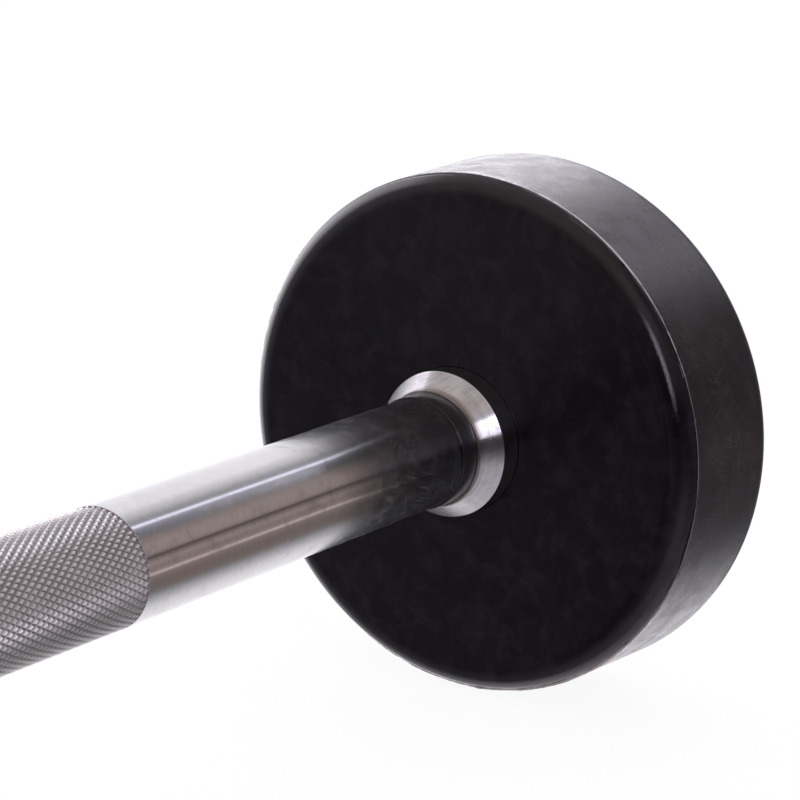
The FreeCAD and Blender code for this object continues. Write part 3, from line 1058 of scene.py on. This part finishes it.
studio = {
    "floorHalf": 6.0,
    "floorGlow": 0.93,           # of the pale floor, seen straight
    "floorBounce": 0.60,         # of the pale floor, as light on the object
    "floorColour": 0.16,
    "backdrop": 1.0,
    "tint": (0.035, 0.085),      # of the studio light: a little more red and blue
    "tints": {                   # other tints between two angles; the first that fits holds
        "nearSideLight": ((50, 141, (0.10, 0.00)),),
        "middleLight": ((50, 141, (0.10, 0.00)),),
        "farLight": ((128, 236, (0.25, -0.08)),   # the room on the near side is warm
                     (99, 121, (0.010, 0.150)), (-1, 361, (0.012, 0.025))),
    },
    "nearFade": (-0.82, -0.42),  # x where the end behind the camera falls dark
    "nearLevel": 0.30,
    # x from one to the next
    "handOvers": ((-0.15, -0.03), (0.46, 0.62), (0.794, 0.806), (0.842, 0.858)),
    # light round the bar's axis, by angle: 0 is the far side, 90 up, 180 the near side
    "nearSideLight": (
        (0, 0.38), (20, 0.42), (36, 0.40), (51, 0.42), (66, 0.45), (82, 0.48), (98, 0.44),
        (114, 0.44), (130, 0.50), (143, 0.45), (150, 0.30), (163, 0.22), (171, 0.04),
        (187, 0.06), (200, 0.22), (210, 0.38), (228, 0.42), (243, 0.42), (259, 0.34),
        (274, 0.30), (288, 0.20), (302, 0.20), (320, 0.25), (335, 0.39), (360, 0.38),
    ),
    "middleLight": (
        (0, 1.65), (20, 1.70), (40, 1.60), (45, 0.72), (52, 0.58), (66, 0.50), (82, 0.48),
        (98, 0.42), (114, 0.35), (130, 0.20), (150, 0.20), (180, 0.12), (200, 0.15),
        (216, 0.30), (232, 0.45), (246, 0.62), (264, 0.76), (281, 0.88), (292, 0.80),
        (300, 0.64), (312, 0.52), (320, 0.60), (328, 0.98), (334, 1.35), (345, 1.60),
        (360, 1.65),
    ),
    "farLight": (
        (0, 1.26), (30, 1.26), (52, 1.24), (64, 1.19), (74, 0.96), (84, 0.77), (95, 0.46),
        (102, 0.44), (104, 1.85), (106, 1.70), (109, 0.46), (118, 0.20), (126, 0.19),
        (134, 0.28), (146, 0.38), (156, 0.38), (162, 0.35), (167, 0.08), (171, 0.22),
        (178, 0.38), (187, 0.29), (195, 0.35), (197, 0.90), (201, 0.27), (214, 0.20),
        (229, 0.21), (237, 0.34), (247, 0.58), (267, 1.00), (282, 1.10), (315, 1.16),
        (360, 1.26),
    ),
    "backLight": (
        (0, 2.80), (10, 3.35), (24, 3.80), (41, 4.50), (58, 4.00), (74, 2.05), (90, 0.75),
        (102, 1.35), (115, 3.70), (130, 1.10), (147, 0.25), (165, 0.06), (195, 0.06),
        (210, 0.12), (239, 0.30), (258, 0.90), (274, 1.85), (297, 1.90), (330, 2.20),
        (360, 2.80),
    ),
    "rearLight": (
        (0, 0.34), (45, 0.34), (90, 0.20), (120, 0.15), (200, 0.12), (250, 0.20),
        (300, 0.26), (345, 0.26), (360, 0.34),
    ),
    "stripPlace": (-165 * mm, -233 * mm, 112 * mm),   # from the middle of the inner face
    "stripTarget": (0.0, -50 * mm, 22 * mm),
    "stripSize": (56 * mm, 122 * mm),
    "stripPower": 0.066,
    "stripColour": (1.0, 0.95, 1.12),
}
cameraView = {
    "place": (innerFaceX - 605.49 * mm, -414.09 * mm, 191.89 * mm),
    "forward": (0.78967316, 0.56485343, -0.239393),
    "lens": 124.35,
    "sensor": 36.0,
}


def makeFloor():
    half = studio["floorHalf"]
    corners = [(-half, -half, floorZ), (half, -half, floorZ),
               (half, half, floorZ), (-half, half, floorZ)]
    mesh = bpy.data.meshes.new("floor")
    mesh.from_pydata(corners, [], [(0, 1, 2, 3)])
    floor = bpy.data.objects.new("floor", mesh)
    bpy.context.scene.collection.objects.link(floor)
    floor.visible_glossy = False
    material, tree, shader = newMaterial("paleFloor")
    tree.nodes.remove(shader)
    rays = addNode(tree, "LightPath").outputs
    grain = placeGroup(tree, cloudyPatches, Scale=2.0, Low=0.0, High=1.0)
    tone = rangeNode(tree, grain, 0.0, 1.0, studio["floorColour"] * 0.99, studio["floorColour"])
    matt = addNode(tree, "BsdfDiffuse", Color=tone)
    strength = rangeNode(tree, rays["Is Camera Ray"], 0.0, 1.0,
                         studio["floorBounce"], studio["floorGlow"])
    glow = addNode(tree, "Emission", Strength=strength)
    both = addNode(tree, "AddShader", input0=matt.outputs[0], input1=glow.outputs[0])
    setInputs(tree, tree.nodes["Material Output"], Surface=both.outputs[0])
    mesh.materials.append(material)


def makeWorld():
    world = bpy.data.worlds.new("studio")
    bpy.context.scene.world = world
    world.use_nodes = True
    tree = world.node_tree
    direction = addNode(tree, "TexCoord").outputs["Generated"]
    x, y, z = addNode(tree, "SeparateXYZ", Vector=direction).outputs
    turn = times(tree, mathNode(tree, "ARCTAN2", z, y), 0.5 / math.pi)
    turn = mathNode(tree, "FRACT", turn)
    lights = []
    for name in ("nearSideLight", "middleLight", "farLight", "backLight", "rearLight"):
        others = studio["tints"].get(name, ())
        stops = []
        for angle, level in studio[name]:
            fitting = [tint for low, high, tint in others if low < angle < high]
            tint = fitting[0] if fitting else studio["tint"]
            stops.append((angle / 360, grey(level, *tint)))
        lights.append(rampNode(tree, turn, stops))
    light = lights[0]
    for following, handOver in zip(lights[1:], studio["handOvers"]):
        share = rangeNode(tree, x, *handOver, smooth=True)
        light = mixColour(tree, share, light, following)
    nearEnd = rangeNode(tree, x, *studio["nearFade"], studio["nearLevel"], smooth=True)
    light = mixColour(tree, nearEnd, grey(0.0), light)
    seen = addNode(tree, "LightPath").outputs["Is Camera Ray"]
    colour = mixColour(tree, seen, light, grey(studio["backdrop"]))
    setInputs(tree, tree.nodes["Background"], Color=colour)


def makeStripLamp():
    lamp = bpy.data.lights.new("stripLamp", "AREA")
    lamp.shape = "RECTANGLE"
    lamp.size, lamp.size_y = studio["stripSize"]
    lamp.energy = studio["stripPower"]
    lamp.color = studio["stripColour"]
    strip = bpy.data.objects.new("stripLamp", lamp)
    bpy.context.scene.collection.objects.link(strip)
    face = Vector((innerFaceX, 0, 0))
    strip.location = face + Vector(studio["stripPlace"])
    aim = Vector(studio["stripTarget"]) - Vector(studio["stripPlace"])
    strip.rotation_mode = "QUATERNION"
    strip.rotation_quaternion = aim.to_track_quat("-Z", "Y")
    strip.visible_camera = False


def makeCamera():
    camera = bpy.data.objects.new("camera", bpy.data.cameras.new("camera"))
    bpy.context.scene.collection.objects.link(camera)
    camera.data.lens = cameraView["lens"]
    camera.data.sensor_width = cameraView["sensor"]
    camera.data.clip_start = 0.01
    camera.data.clip_end = 50.0
    camera.location = cameraView["place"]
    camera.rotation_mode = "QUATERNION"
    camera.rotation_quaternion = Vector(cameraView["forward"]).to_track_quat("-Z", "Y")
    bpy.context.scene.camera = camera


makeFloor()
makeWorld()
makeStripLamp()
makeCamera()
bpy.context.scene.view_settings.view_transform = "Standard"
print("stage: studio and camera made")
